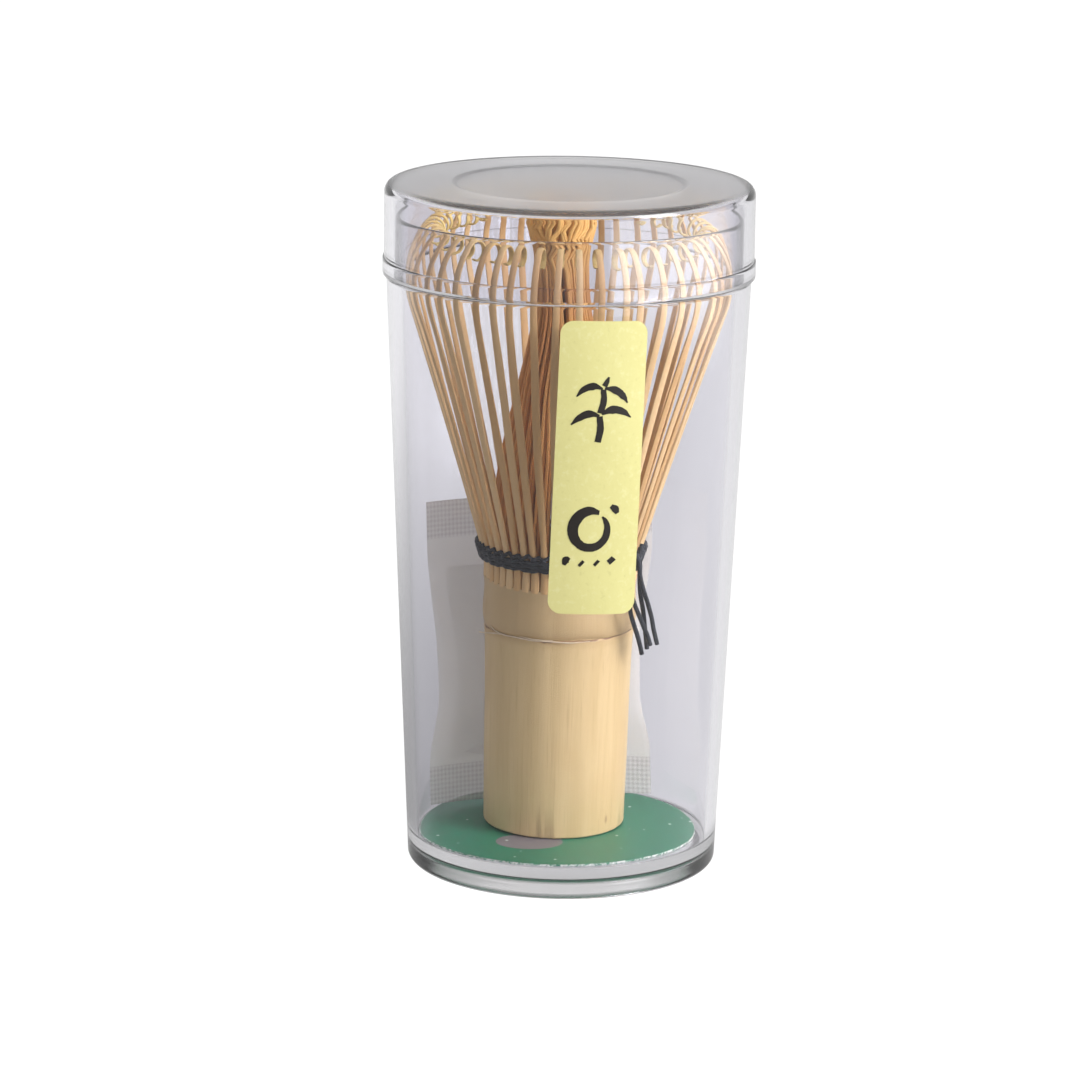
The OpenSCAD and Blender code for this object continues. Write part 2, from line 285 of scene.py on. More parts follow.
def clearPlastic(name, clearHeight, hazyHeight, roughness):
    # the walls are clear, and the moulding grows a little hazy on the way to one end of it
    paint = Paint(name, IOR=1.46, Transmission_Weight=1)
    where = paint.place()
    haze = (paint.axis(where, "Z") / mm).between(clearHeight, hazyHeight)
    smudge = paint.grain(where, 55, 3).between(0.58, 0.76) * paint.grain(where, 420, 2)
    paint.set("Base Color", paint.mix(haze, (0.885, 0.878, 0.915, 1), (1, 0.995, 1, 1)))
    paint.set("Roughness", 0.015 + smudge * 0.06 + haze * roughness)
    # light passes the walls without burning bright spots behind them
    passing = paint.node("ShaderNodeBsdfTransparent", inputs={"Color": (0.90, 0.90, 0.92, 1)})
    isShadow = paint.node("ShaderNodeLightPath", out="Is Shadow Ray")
    both = paint.node("ShaderNodeMixShader", inputs={
        0: isShadow, 1: Wire(paint, paint.shader.outputs[0]), 2: passing})
    paint.tree.links.new(both.socket, paint.tree.nodes["Material Output"].inputs["Surface"])
    return paint.material


def labelPaper():
    paint = Paint("labelPaper", Roughness=0.55)
    where = paint.place()
    fibre = paint.grain(where, 900, 4, 0.6)
    cloud = paint.grain(where, 90, 2)
    tone = paint.mix(cloud, shade(228, 222, 152), shade(218, 211, 141))
    tone = paint.mix(fibre.between(0.5, 0.75) * 0.45, tone, shade(236, 232, 178))
    paint.set("Base Color", paint.mix((1 - fibre.between(0.2, 0.42)) * 0.4, tone, shade(196, 188, 120)))
    paint.relief(fibre, 0.4, 0.00008)
    return paint.material


def brushInk():
    paint = Paint("brushInk", Roughness=0.42)
    where = paint.place()
    wash = paint.grain(where, 700, 3)
    paint.set("Base Color", paint.mix(wash, shade(20, 16, 14), shade(40, 33, 28)))
    return paint.material


card = {
    "patch": (-5.4, -10.9),     # middle of the printed oval, in millimetres
    "patchSize": (5.8, 4.5),
    "edge": 0.2,                # how far the cut edge keeps back, before it is made ragged
    "rings": (2.5, 5, 6, 6),    # widths of the rings that its face is divided into
}


def cardGreen(radius, middleX):
    paint = Paint("cardGreen", Specular_IOR_Level=0.5)
    where = paint.place()
    x = paint.axis(where, "X") / mm
    y = paint.axis(where, "Y") / mm
    reach = ((x - middleX) ** 2 + y ** 2) ** 0.5
    rough = paint.grain(where, 2200, 2)
    fine = paint.grain(where, 520, 3)
    green = paint.mix(fine, shade(26, 110, 78), shade(44, 134, 102))
    px, py = card["patch"]
    wide, deep = card["patchSize"]
    oval = (((x - px) / wide) ** 2 + ((y - py) / deep) ** 2) ** 0.5
    body = paint.mix(1 - oval.between(0.97, 1.0), green, shade(128, 122, 124))
    edge = (reach + rough * 0.5).between(radius - 0.05, radius + 0.12)
    body = paint.mix(edge, body, shade(226, 230, 224))
    spots = paint.cells(where, 330)
    chosen = paint.grain(where, 300, 1)
    dust = (1 - spots.between(0.06, 0.13)) * chosen.between(0.46, 0.56)
    paint.set("Base Color", paint.mix(dust, body, shade(226, 236, 230)))
    paint.set("Roughness", 0.34 + fine * 0.12 + dust * 0.3)
    paint.relief(fine + dust, 0.2, 0.00005)
    return paint.material


def sachetFilm(lowZ, highZ, sealHeight):
    # crimped across and down in the two seals, plain between them
    paint = Paint("sachetFilm", Roughness=0.48, Alpha=0.5)
    where = paint.place()
    flat = paint.attribute("flat")
    across = paint.axis(flat, "X")
    up = paint.axis(flat, "Y")
    turns = 2 * math.pi / (0.85 * mm)       # one ridge of the crimp every 0.85 mm
    ridges = [paint.node("ShaderNodeMath", {"operation": "SINE"}, {0: line * turns}) for line in (across, up)]
    topSeal = highZ - lowZ - sealHeight
    seal = (1 - up.between(sealHeight - 0.0002, sealHeight + 0.0001)
            + up.between(topSeal - 0.0001, topSeal + 0.0002))
    crimp = (ridges[0] + ridges[1]) * 0.25 + 0.5
    cloud = paint.grain(where, 130, 3)
    fibre = paint.grain(where, 1500, 3)
    base = paint.mix(cloud, shade(250, 249, 246), shade(238, 236, 232))
    base = paint.mix(seal * crimp * 0.6, base, shade(172, 167, 162))
    paint.set("Base Color", paint.mix(fibre.between(0.45, 0.75) * 0.2, base, shade(246, 246, 244)))
    paint.relief(seal * crimp * 1.2 + fibre * 0.25, 0.6, 0.00012)
    return paint.material


def desiccantBeads():
    paint = Paint("desiccantBeads", Roughness=0.6, Alpha=0.14)
    where = paint.place()
    cell = paint.cells(where, 700)
    # painted shade: each bead is painted darker towards its rim, in the gaps between the beads
    paint.set("Base Color", paint.mix(cell, shade(244, 244, 241), shade(214, 214, 210)))
    paint.relief(1 - cell, 0.8, 0.0004)
    return paint.material


def bambooSkin(knuckle):
    # pale culm with fine lengthwise fibres, specks, a tanner band at its node, and painted shade above the node
    paint = Paint("bambooSkin", Specular_IOR_Level=0.45, Coat_Roughness=0.3)
    where = paint.attribute("grain")
    height = paint.axis(where, "Z")
    broad = paint.grain(paint.stretch(where, (1, 1, 0.06)), 330, 3)
    fine = paint.grain(paint.stretch(where, (1, 1, 0.022)), 2600, 3, 0.65)
    hair = paint.grain(paint.stretch(where, (1, 1, 0.012)), 5200, 2)
    cloud = paint.grain(paint.stretch(where, (1, 1, 0.5)), 75, 3)
    base = paint.mix(broad.between(0.3, 0.7), shade(216, 187, 134), shade(225, 197, 144))
    base = paint.mix(fine.between(0.5, 0.78) * 0.3, base, shade(190, 154, 102))
    base = paint.mix(hair.between(0.62, 0.72) * 0.25, base, shade(160, 120, 76))
    base = paint.mix(cloud.between(0.5, 0.75) * 0.35, base, shade(208, 170, 112))
    # painted shade: the culm above its node is painted darker
    above = height.between(knuckle, knuckle + 0.0012)
    base = paint.mix(above * 0.5, base, shade(188, 158, 114))
    wobble = (cloud - 0.5) * 0.0012 + (broad - 0.5) * 0.0008
    away = paint.node("ShaderNodeMath", {"operation": "ABSOLUTE"}, {0: height + wobble - knuckle})
    line = 1 - away.between(0.00005, 0.00024)
    halo = 1 - away.between(0.0002, 0.0018)
    base = paint.mix(halo * 0.3, base, shade(172, 132, 88))
    base = paint.mix(line * broad.between(0.25, 0.6) * 0.85, base, shade(128, 90, 66))
    specks = paint.cells(paint.stretch(where, (1, 1, 0.45)), 210)
    picked = paint.grain(where, 190, 1)
    speck = (1 - specks.between(0.03, 0.1)) * picked.between(0.58, 0.66)
    base = paint.mix(speck * 0.55, base, shade(150, 112, 74))
    paint.set("Base Color", base)
    paint.set("Roughness", 0.42 + fine * 0.16)
    paint.set("Coat Weight", 0.12 + broad * 0.1)
    paint.relief(fine * 0.5 + hair * 0.3 - line * 2.0, 0.5, 0.0001)
    return paint.material


def bambooSplit(name, pale, dark, streak, tip, tipFrom, tipShare):
    # split bamboo: tone differs from tine to tine, and runs into another one at the tip
    paint = Paint(name, Specular_IOR_Level=0.4)
    where = paint.attribute("grain")
    tone = paint.attribute("tone", "Fac")
    along = paint.attribute("along", "Fac")
    broad = paint.grain(paint.stretch(where, (1, 1, 0.05)), 900, 2)
    fine = paint.grain(paint.stretch(where, (1, 1, 0.02)), 4200, 3, 0.6)
    base = paint.mix(tone, pale, dark)
    base = paint.mix(broad.between(0.42, 0.7) * 0.45, base, streak)
    base = paint.mix(fine.between(0.55, 0.75) * 0.5, base, streak)
    base = paint.mix(along.between(tipFrom, 0.97) * tipShare, base, tip)
    paint.set("Base Color", base)
    paint.set("Roughness", 0.46 + fine * 0.2)
    paint.relief(fine, 0.35, 0.00008)
    return paint.material


def slateThread():
    paint = Paint("slateThread", Sheen_Weight=0.12, Sheen_Roughness=0.4)
    where = paint.place()
    fuzz = paint.grain(where, 3200, 3, 0.6)
    broad = paint.grain(where, 420, 2)
    base = paint.mix(broad, shade(24, 26, 31), shade(44, 47, 54))
    paint.set("Base Color", paint.mix(fuzz.between(0.5, 0.75) * 0.5, base, shade(74, 78, 86)))
    paint.set("Roughness", 0.62 + fuzz * 0.2)
    paint.relief(fuzz, 0.6, 0.00012)
    return paint.material


def paleFibre():
    paint = Paint("paleFibre", Roughness=0.5)
    tone = paint.grain(paint.place(), 800, 2)
    paint.set("Base Color", paint.mix(tone, shade(240, 226, 200), shade(206, 182, 142)))
    return paint.material


threadPaint = slateThread()
print("shared finishes ready")

# the whisk's own lean, the same as the CAD model's
whisk = {
    "foot": 6.27,           # heights above the table, in millimetres
    "knuckle": 41.87,
    "slit": 52.17,
    "widest": 103.37,
    "tuft": 114.07,
    "leanBack": 1.5,        # degrees
    "leanLeft": 0.85,
}
pivot = Vector((0, 0, whisk["widest"] * mm))
leaning = (Matrix.Translation(pivot) @ Matrix.Rotation(math.radians(whisk["leanLeft"]), 4, "Y")
           @ Matrix.Rotation(math.radians(whisk["leanBack"]), 4, "X") @ Matrix.Translation(-pivot))


def lean(piece):
    # keeps the upright place of each point for the grain, then leans the mesh
    mesh = piece.data
    if "grain" not in mesh.attributes:
        upright = mesh.attributes.new("grain", "FLOAT_VECTOR", "POINT")
        for vertex, item in zip(mesh.vertices, upright.data):
            item.vector = vertex.co
    mesh.transform(leaning)
    mesh.update()
    return piece


# thread ends: each length runs up, over the knot and down again, in millimetres
threadEnds = {
    "diameter": 0.8,
    "overKnot": 9,          # the point of each route where it leaves the knot
    "front": [
        (13.3, -6.7, 38.5), (12.9, -7.3, 40.4), (12.4, -7.9, 42.3), (11.8, -8.5, 44.2), (11.3, -9, 46),
        (11, -9.3, 48.2), (10.8, -9.5, 50.4), (10.6, -9.7, 52.6), (10.5, -9.8, 54.6), (10.8, -9.4, 55.8),
        (11.6, -8.4, 56.4), (12.4, -7.3, 55.8), (12.7, -6.9, 54.6), (12.7, -7, 52), (12.9, -6.9, 49.2),
        (13.4, -6.5, 46.2), (13.8, -6.1, 42.8), (14.2, -5.8, 39.2)],
    "rear": [
        (14.7, -7.1, 40.2), (14.2, -7.5, 41.9), (13.6, -8, 43.4), (12.9, -8.8, 45.3), (12.2, -9.6, 47.1),
        (11.4, -10.5, 49.4), (10.6, -11.1, 52), (10.2, -11.3, 54.8), (10.5, -11, 56), (11.3, -10, 56.6),
        (12.2, -9, 56), (12.5, -8.6, 54.8), (12.7, -8.7, 53), (13.3, -8.4, 50.4), (14.1, -7.6, 47.8),
        (14.8, -7.1, 45.2), (15.3, -6.6, 42.6), (15.9, -6, 40.1)],
}


def addThreadEnds():
    thick = threadEnds["diameter"] * mm
    for side in ("front", "rear"):
        route = [Vector(p) * mm for p in threadEnds[side]]
        piece = curveTube("threadEnd_" + side, [route], thick / 2)
        place(piece, "whisk", "thread", threadPaint, "thread_end_" + side)


addThreadEnds()
print("thread ends laid")

case = {
    "footRadius": 26.8,
    "footRound": 1.4,
    "footRing": 2.8,
    "floorTop": 5.4,
    "floorThick": 2.6,
    "floorInner": 25.12,
    "cornerRound": 0.3,
    "coveRound": 1.4,           # the hollow under the floor runs into its ring in a cove
    "coveReach": 2.4,
    "shoulder": (31.1, 103.07), # radius and height
    "neck": (28.8, 29.6),       # inner and outer radius
    "rim": 113.57,
    "haze": (5.6, 3.2, 0.12),   # heights where it starts and is full, and its roughness
    "steps": 200,
}


def addCaseTub():
    c = case
    ringInner = c["footRadius"] - c["footRing"]
    under = c["floorTop"] - c["floorThick"]
    wide, high = c["shoulder"]
    neckIn, neckOut = c["neck"]
    coveR = ringInner - c["coveReach"]
    outline = [(0, under), (coveR, under)]
    outline += arcOf(coveR, under - c["coveRound"], c["coveRound"], 90, 20, 5)
    outline += [(ringInner, 0.25), (ringInner + 0.3, 0)]
    outline += arcOf(c["footRadius"] - c["footRound"], c["footRound"], c["footRound"], -90, 2, 10)
    # the shoulder's and the neck's edges are eased by a few tenths
    outline += [(wide - 0.02, high - 0.3), (wide - 0.1, high - 0.08), (wide - 0.3, high)]
    outline += [(neckOut + 0.25, high), (neckOut + 0.06, high + 0.08), (neckOut, high + 0.3)]
    outline += [(neckOut, c["rim"] - 0.3), (neckOut - 0.08, c["rim"] - 0.08), (neckOut - 0.28, c["rim"])]
    outline += [(neckIn + 0.2, c["rim"]), (neckIn + 0.04, c["rim"] - 0.06), (neckIn, c["rim"] - 0.25)]
    outline += arcOf(c["floorInner"] - c["cornerRound"], c["floorTop"] + c["cornerRound"],
                     c["cornerRound"], 0, -90, 4)
    outline += [(0, c["floorTop"])]
    piece = spinOutline("caseTub", braced(outline, 0.2), c["steps"])
    smooth(piece, 30)
    return place(piece, "case", "clear_plastic", clearPlastic("clearTub", *c["haze"]), "case_body")


cap = {
    "inner": 29.8,
    "outer": 31.5,
    "rim": 103.17,
    "beadHigh": 3.0,
    "bead": 0.25,
    "under": 117.55,
    "top": 118.87,
    "corner": 0.4,      # inner round
    "edge": 1.7,        # outer round
    "recess": 19.4,
    "recessDeep": 0.3,
    "recessSlope": 6,   # steps down its side, a fifth of a millimetre wide each
    "haze": (118.27, 118.57, 0.27),
    "steps": 200,
}


def addCaseCap():
    c = cap
    bead = c["outer"] + c["bead"]
    outline = [(0, c["under"])]
    outline += arcOf(c["inner"] - c["corner"], c["under"] - c["corner"], c["corner"], 90, 0, 6)
    outline += [(c["inner"], c["rim"] + 0.5), (c["inner"] + 0.5, c["rim"])]
    outline += arcOf(bead - 0.35, c["rim"] + 0.35, 0.35, -90, 0, 5)
    outline += [(bead, c["rim"] + c["beadHigh"] - 0.3), (bead - 0.08, c["rim"] + c["beadHigh"] - 0.1),
                (c["outer"], c["rim"] + c["beadHigh"])]
    outline += arcOf(c["outer"] - c["edge"], c["top"] - c["edge"], c["edge"], 0, 90, 14)
    for i in range(c["recessSlope"] + 1):
        outline.append((c["recess"] + 0.9 - i * 0.2, c["top"] - c["recessDeep"] * ease(i / c["recessSlope"])))
    outline += [(0, c["top"] - c["recessDeep"])]
    piece = spinOutline("caseCap", braced(outline, 0.2), c["steps"])
    smooth(piece, 30)
    return place(piece, "lid", "clear_plastic", clearPlastic("clearCap", *c["haze"]), "case_lid")


addCaseTub()
addCaseCap()
print("clear case turned")

# paper label with its brush marks
label = {
    "middle": 75.7,     # height of its middle
    "turn": 10.2,       # degrees round the case from the front
    "slant": 1.4,
    "thick": 0.12,
    "gap": 0.02,
    "ink": 0.05,        # how far the ink stands on the paper
    "bold": 1.32,       # how much broader the brush is than the strokes below say
    "ragged": 0.06,
}
# each stroke: across, up and radius in millimetres, about its mark's own middle
sprigStrokes = [
    [(-0.4, -5.2, 0.42), (-0.1, -3.0, 0.46), (-0.3, -1.0, 0.40)],
    [(-0.2, -0.5, 0.44), (0.2, 1.6, 0.42), (0.1, 3.4, 0.36)],
    [(0.2, 3.9, 0.38), (0.6, 4.8, 0.30), (0.8, 5.4, 0.12)],
    [(-0.3, -0.9, 0.14), (-1.8, -0.6, 0.52), (-3.2, -1.3, 0.44), (-4.3, -2.4, 0.08)],
    [(0.0, -0.6, 0.16), (1.5, 0.1, 0.56), (3.0, -0.2, 0.46), (4.3, -1.2, 0.08)],
    [(0.0, 3.5, 0.12), (-1.4, 3.9, 0.50), (-2.8, 3.3, 0.40), (-3.7, 2.2, 0.08)],
    [(0.3, 3.6, 0.14), (1.8, 3.3, 0.52), (3.0, 2.3, 0.42), (3.7, 1.2, 0.08)],
]
ringStrokes = [
    [(1.3, 3.5, 0.30), (-0.6, 3.7, 0.62), (-2.4, 2.5, 0.74), (-2.9, 0.6, 0.70), (-1.9, -1.1, 0.60),
     (0.1, -1.7, 0.56), (1.9, -0.9, 0.50), (2.7, 0.7, 0.46), (2.4, 2.2, 0.34), (1.8, 2.9, 0.14)],
    [(3.2, 4.5, 0.30), (3.9, 4.0, 0.52), (4.3, 3.4, 0.26)],
    [(-4.1, -4.3, 0.24), (-3.8, -3.6, 0.52), (-3.3, -3.2, 0.22)],
    [(-1.5, -3.9, 0.44), (-1.1, -4.2, 0.46)],
    [(1.0, -3.8, 0.42), (1.4, -4.1, 0.44)],
    [(3.3, -3.3, 0.46), (3.9, -3.9, 0.52)],
]
# name, strokes, height above the label's middle, shift across, size across and up
marks = [("inkSprig", sprigStrokes, 10.0, 0.1, 1.16, 1.04), ("inkRing", ringStrokes, -11.5, -0.8, 1.02, 1.16)]


def caseRadius(height):
    wide, high = case["shoulder"]
    return case["footRadius"] + (wide - case["footRadius"]) * height / high


def addBrushMark(name, strokes, up, shift, wider, taller):
    bold = label["bold"]
    lines = [[((x * wider + shift) * mm, 0, z * taller * mm, r * bold) for x, z, r in stroke]
             for stroke in strokes]
    piece = asMesh(curveTube(name, lines, mm, resolution=8, rounds=3))
    slant = math.radians(label["slant"])
    for vertex in piece.data.vertices:
        across, proud, z = (v / mm for v in vertex.co)
        z += up
        flatX = across * math.cos(slant) + z * math.sin(slant)
        flatZ = label["middle"] + z * math.cos(slant) - across * math.sin(slant)
        rough = noise.noise(Vector((across * 2.2, z * 2.2, up))) * label["ragged"]
        radius = caseRadius(flatZ) + label["gap"] + label["thick"]
        turn = math.asin((flatX + rough) / radius) + math.radians(label["turn"])
        radius += label["ink"] if proud < 0 else -label["ink"] - 0.01
        vertex.co = Vector((radius * math.sin(turn), -radius * math.cos(turn), flatZ + rough)) * mm
    smooth(piece, 60)
    return place(piece, "case", "label_paper", inkPaint)


def dressLabel():
    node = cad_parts["front_label"]
    node.data.materials.clear()
    node.data.materials.append(labelPaper())
    for name, strokes, *layout in marks:
        addBrushMark(name, strokes, *layout)


inkPaint = brushInk()
dressLabel()
print("label brushed")


def addBaseCard():
    low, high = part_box("base_card")
    middle = (low + high) / 2
    radius = (high.x - low.x) / 2
    selectNone()
    bpy.ops.mesh.primitive_circle_add(vertices=360, radius=radius - card["edge"] * mm, fill_type="NGON",
                                      location=(middle.x, middle.y, low.z + 0.02 * mm))
    piece = bpy.context.object
    piece.name = "baseCard"
    bpy.ops.object.mode_set(mode="EDIT")
    bpy.ops.mesh.extrude_region_move(TRANSFORM_OT_translate={"value": (0, 0, high.z - low.z - 0.06 * mm)})
    bpy.ops.mesh.inset(thickness=0.18 * mm)
    bpy.ops.transform.translate(value=(0, 0, 0.02 * mm))
    for ring in card["rings"]:
        bpy.ops.mesh.inset(thickness=ring * mm)
    bpy.ops.mesh.select_all(action="SELECT")
    bpy.ops.mesh.normals_make_consistent(inside=False)
    bpy.ops.object.mode_set(mode="OBJECT")
    settle(piece)
    for vertex in piece.data.vertices:
        flat = Vector((vertex.co.x - middle.x, vertex.co.y - middle.y, 0))
        if flat.length > radius - 0.6 * mm:
            ragged = noise.noise(vertex.co * 2600) * 0.14 + noise.noise(vertex.co * 700) * 0.08
            vertex.co += flat.normalized() * ragged * mm
    smooth(piece, 40)
    return place(piece, "case", "card", cardGreen(radius / mm, middle.x / mm), "base_card")


addBaseCard()
print("card cut")

sachet = {
    "turn": 17,
    "back": 17.55,          # distance of its middle behind the case's axis
    "bow": 47.4,            # radius of its bend round the handle
    "wide": 43.4,
    "leans": (-0.016, 0.010),   # how much it leans to the left and back as it rises
    "hitched": 0.05,            # how much its left side stands higher
    "seal": 7.0,
    "full": 3.7,            # thickness at its fullest
    "pullIn": 2.3,          # how far each side draws in at the middle
    "slump": 0.36,          # height of the fullest place, as a part of the whole
    "stands": 0.1,          # gap beneath it
    "keptBack": 0.3,        # how much less high it is than its box
    "fill": 0.55,
}
beads = {
    "full": 2.2,
    "sideRoom": 4.5,
    "headRoom": 5,
    "footRoom": 1,
}


def addSachetSheet(name, side, thickness, width, height, seal, parts):
    # one film of the pouch: side is -1 for the film towards the whisk and 1 for the other
    selectNone()
    bpy.ops.mesh.primitive_grid_add(x_subdivisions=parts, y_subdivisions=int(parts * 1.6), size=1)
    piece = bpy.context.object
    piece.name = name
    mesh = piece.data
    flat = mesh.attributes.new("flat", "FLOAT_VECTOR", "POINT")
    for vertex, item in zip(mesh.vertices, flat.data):
        u, v = vertex.co.x * 2, vertex.co.y + 0.5
        up = v * height
        item.vector = ((u + 1) * width / 2, up, 0)
        inner = min(1, max(0, (up - seal) / (height - 2 * seal)))
        belly = ease(inner * 3.4) * ease((1 - inner) * 2.2)
        lobe = math.exp(-((inner - sachet["slump"]) / 0.42) ** 2)
        puff = thickness * belly * (0.45 + 0.55 * lobe)
        bulge = max(0, 1 - abs(u) ** 2.4) ** 0.75
        gather = math.exp(-min(up - seal, height - seal - up) / (7 * mm)) if 0 < inner < 1 else 0
        folds = noise.noise(Vector((u * 5.5, v * 1.6 + side * 3, 1.3))) * 0.55 * gather
        dents = noise.noise(Vector((u * 2.2 + side, v * 3.4, 4.7))) * 0.32
        slanted = (u + 0.25 - (inner - 0.12) * 2.2) / 0.10
        crease = math.exp(-slanted ** 2) * ease((0.42 - inner) * 4) * 0.45
        lift = bulge * (puff / 2 + (folds + dents - crease) * mm * belly)
        across = u * (width / 2 - sachet["pullIn"] * mm * belly * (0.6 + 0.4 * lobe))
        wave = noise.noise(Vector((v * 4, 0, 9))) * 0.25 * mm * (1 if abs(u) > 0.99 else abs(u) ** 3)
        rim = 0 if abs(u) > 0.999 or v < 0.001 or v > 0.999 else 0.12 * mm
        sway = 0.5 * mm * math.sin(u * 2.2 + v * 2.4) * (1 - belly)
        vertex.co = Vector((across + wave, side * (lift + rim) + sway * 0.6, up))
    return piece


def bendRound(piece, lift, home):
    # bends the flat pouch round the handle and stands it in its place
    radius = sachet["bow"] * mm
    for vertex in piece.data.vertices:
        across, depth, up = vertex.co
        across += sachet["leans"][0] * (up + lift)
        depth += sachet["leans"][1] * (up + lift)
        up += max(0, -across) * sachet["hitched"]
        turn = across / radius
        reach = radius + depth
        vertex.co = Vector((reach * math.sin(turn), reach * math.cos(turn) - radius, up + lift))
    piece.data.transform(home)


def pouch(name, thickness, width, height, seal, parts, lift, home):
    sheets = [addSachetSheet(name + "Front", -1, thickness, width, height, seal, parts),
              addSachetSheet(name + "Rear", 1, thickness, width, height, seal, parts)]
    piece = joinAll(sheets, name)
    bpy.ops.object.mode_set(mode="EDIT")
    bpy.ops.mesh.select_all(action="SELECT")
    bpy.ops.mesh.remove_doubles(threshold=1e-6)
    bpy.ops.mesh.normals_make_consistent(inside=False)
    bpy.ops.object.mode_set(mode="OBJECT")
    bendRound(piece, lift, home)
    smooth(piece, 60)
    return piece


def addSachet():
    low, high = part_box("desiccant_sachet")
    height = high.z - low.z - sachet["keptBack"] * mm
    width = sachet["wide"] * mm
    seal = sachet["seal"] * mm
    home = (Matrix.Rotation(math.radians(sachet["turn"]), 4, "Z")
            @ Matrix.Translation((0, sachet["back"] * mm, low.z + sachet["stands"] * mm)))
    film = pouch("drySachet", sachet["full"] * mm, width, height, seal, 72, 0, home)
    place(film, "case", "sachet_film", sachetFilm(low.z, high.z, seal), "desiccant_sachet")
    heapWidth = width - 2 * beads["sideRoom"] * mm
    heapHeight = height - 2 * seal - (beads["headRoom"] + beads["footRoom"]) * mm
    heap = pouch("sachetBeads", beads["full"] * mm, heapWidth, heapHeight, 0, 24,
                 seal + beads["footRoom"] * mm, home)
    place(heap, "case", "desiccant", desiccantBeads(), "desiccant_fill")


addSachet()
print("sachet filled")

handle = {
    "outside": [(12.05, 6.27), (12.25, 6.5), (12.34, 12), (12.44, 18), (12.5, 24), (12.56, 30), (12.66, 35),
                (12.78, 38.6), (12.9, 40.6), (12.98, 41.5), (12.86, 41.78), (12.84, 41.92), (13.0, 42.15),
                (13.16, 42.8), (13.3, 44.2), (13.28, 45.4), (13.14, 47.2), (13.1, 48.6), (13.2, 49.8),
                (13.27, 50.6)],
    "bore": 9.75,
    "boreRound": 2,
    "cup": 10.8,
    "cupRound": 1.5,
    "top": 50.6,
    "partition": 44.07,
    "steps": 144,
    "nodeReach": 2.5,       # how far from its node the handle still follows the node's uneven ring
}


def addHandle():
    h = handle
    knuckle = whisk["knuckle"]
    outline = [(h["bore"], whisk["foot"])] + h["outside"]
    outline += [(h["cup"], h["top"])]
    outline += arcOf(h["cup"] - h["cupRound"], h["partition"] + h["cupRound"], h["cupRound"], 0, -90, 6)
    outline += [(0, h["partition"]), (0, knuckle)]
    outline += arcOf(h["bore"] - h["boreRound"], knuckle - h["boreRound"], h["boreRound"], 90, 0, 6)
    outline += [(h["bore"], whisk["foot"])]
    # the loop touches the axis, so it is spun from there
    start = outline.index((0, knuckle))
    piece = spinOutline("whiskHandle", outline[start:-1] + outline[:start], h["steps"])
    for vertex in piece.data.vertices:
        flat = Vector((vertex.co.x, vertex.co.y, 0))
        turn = math.atan2(flat.y, flat.x)
        if flat.length > h["cup"] * mm + 1.1 * mm:      # the outside only
            height = vertex.co.z / mm
            oval = 0.05 * math.cos(2 * turn + 0.7) + 0.03 * math.cos(5 * turn + height * 0.02)
            rib = noise.noise(Vector((math.cos(turn) * 9, math.sin(turn) * 9, height * 0.03))) * 0.05
            vertex.co += flat.normalized() * (oval + rib) * mm
            near = 1 - abs(height - knuckle) / h["nodeReach"]
            if near > 0:        # the node's ring is not quite level
                ring = noise.noise(Vector((math.cos(turn) * 1.6, math.sin(turn) * 1.6, 3.1))) * 0.5
                vertex.co.z += ring * mm * near
    smooth(piece, 40)
    lean(piece)
    return place(piece, "whisk", "bamboo_handle", bambooSkin(knuckle * mm), "whisk_handle")


# thin pale strands at the node: turn from the front in degrees, height and radius in millimetres
strands = [
    [(-64, 42.6, 13.15), (-56, 42.15, 13.2), (-46, 41.9, 13.2), (-34, 41.98, 13.15), (-20, 41.86, 13.1),
     (-6, 41.95, 13.1), (8, 41.8, 13.1), (24, 41.88, 13.08)],
    [(-40, 41.95, 13.15), (-52, 41.75, 13.3), (-66, 41.1, 13.5), (-80, 40.3, 13.75), (-92, 39.6, 13.9)],
    [(-30, 42.25, 13.15), (-16, 42.1, 13.15), (-4, 42.2, 13.12)],
]


def addStrands():
    lines = []
    for strand in strands:
        last = len(strand) - 1
        line = []
        for i, (turn, height, out) in enumerate(strand):
            around = math.radians(turn - 90)
            thin = 1 if 0 < i < last else 0.35
            line.append((out * math.cos(around) * mm, out * math.sin(around) * mm, height * mm, thin))
        lines.append(line)
    piece = asMesh(curveTube("nodeStrands", lines, 0.11 * mm, rounds=1))
    piece.data.transform(leaning)
    smooth(piece, 60)
    return place(piece, "whisk", "bamboo_handle", paleFibre())


addHandle()
addStrands()
print("handle turned")

tines = {
    "sectors": 8,
    "share": 6,
    "rootRadius": 12.8,
    "rootRun": 1.2,
    "sunk": 1.9,            # how far the roots run down into the culm
    "splay": 17.51,         # degrees
    "straight": 46.73,
    "splayBend": 18,
    "shoulderBend": 11,
    "shoulderTurn": 42,
    "curl": 2.0,
    "curlTurn": 138,
    "hook": 1.44,
    "hookTurn": 130,
    "innerRoot": 11.9,      # radius of the inner tines at the slit roots
    "innerTop": 113.9,
    "waistRise": 1.5,       # how far the bundle's waist lies above the head's widest circle
    "lists": -1.7,          # how far the inner bundle's top stands to one side
    "arris": 0.24,          # how far the edges of a tine are taken off
}
# along the tine from 0 to 1: width and thickness in millimetres
outerSection = [(0, 1.52, 1.0), (0.03, 1.46, 1.0), (0.07, 1.02, 1.0), (0.12, 1.0, 0.92), (0.2, 1.16, 0.74),
                (0.35, 1.34, 0.58), (0.5, 1.34, 0.52), (0.65, 1.22, 0.5), (0.8, 1.08, 0.5), (0.92, 1.0, 0.42),
                (1, 0.78, 0.3)]
innerSection = [(0, 0.5, 0.95), (0.1, 0.6, 0.9), (0.5, 0.62, 0.8), (0.8, 0.58, 0.8), (0.9, 0.66, 0.8),
                (1, 0.66, 0.7)]


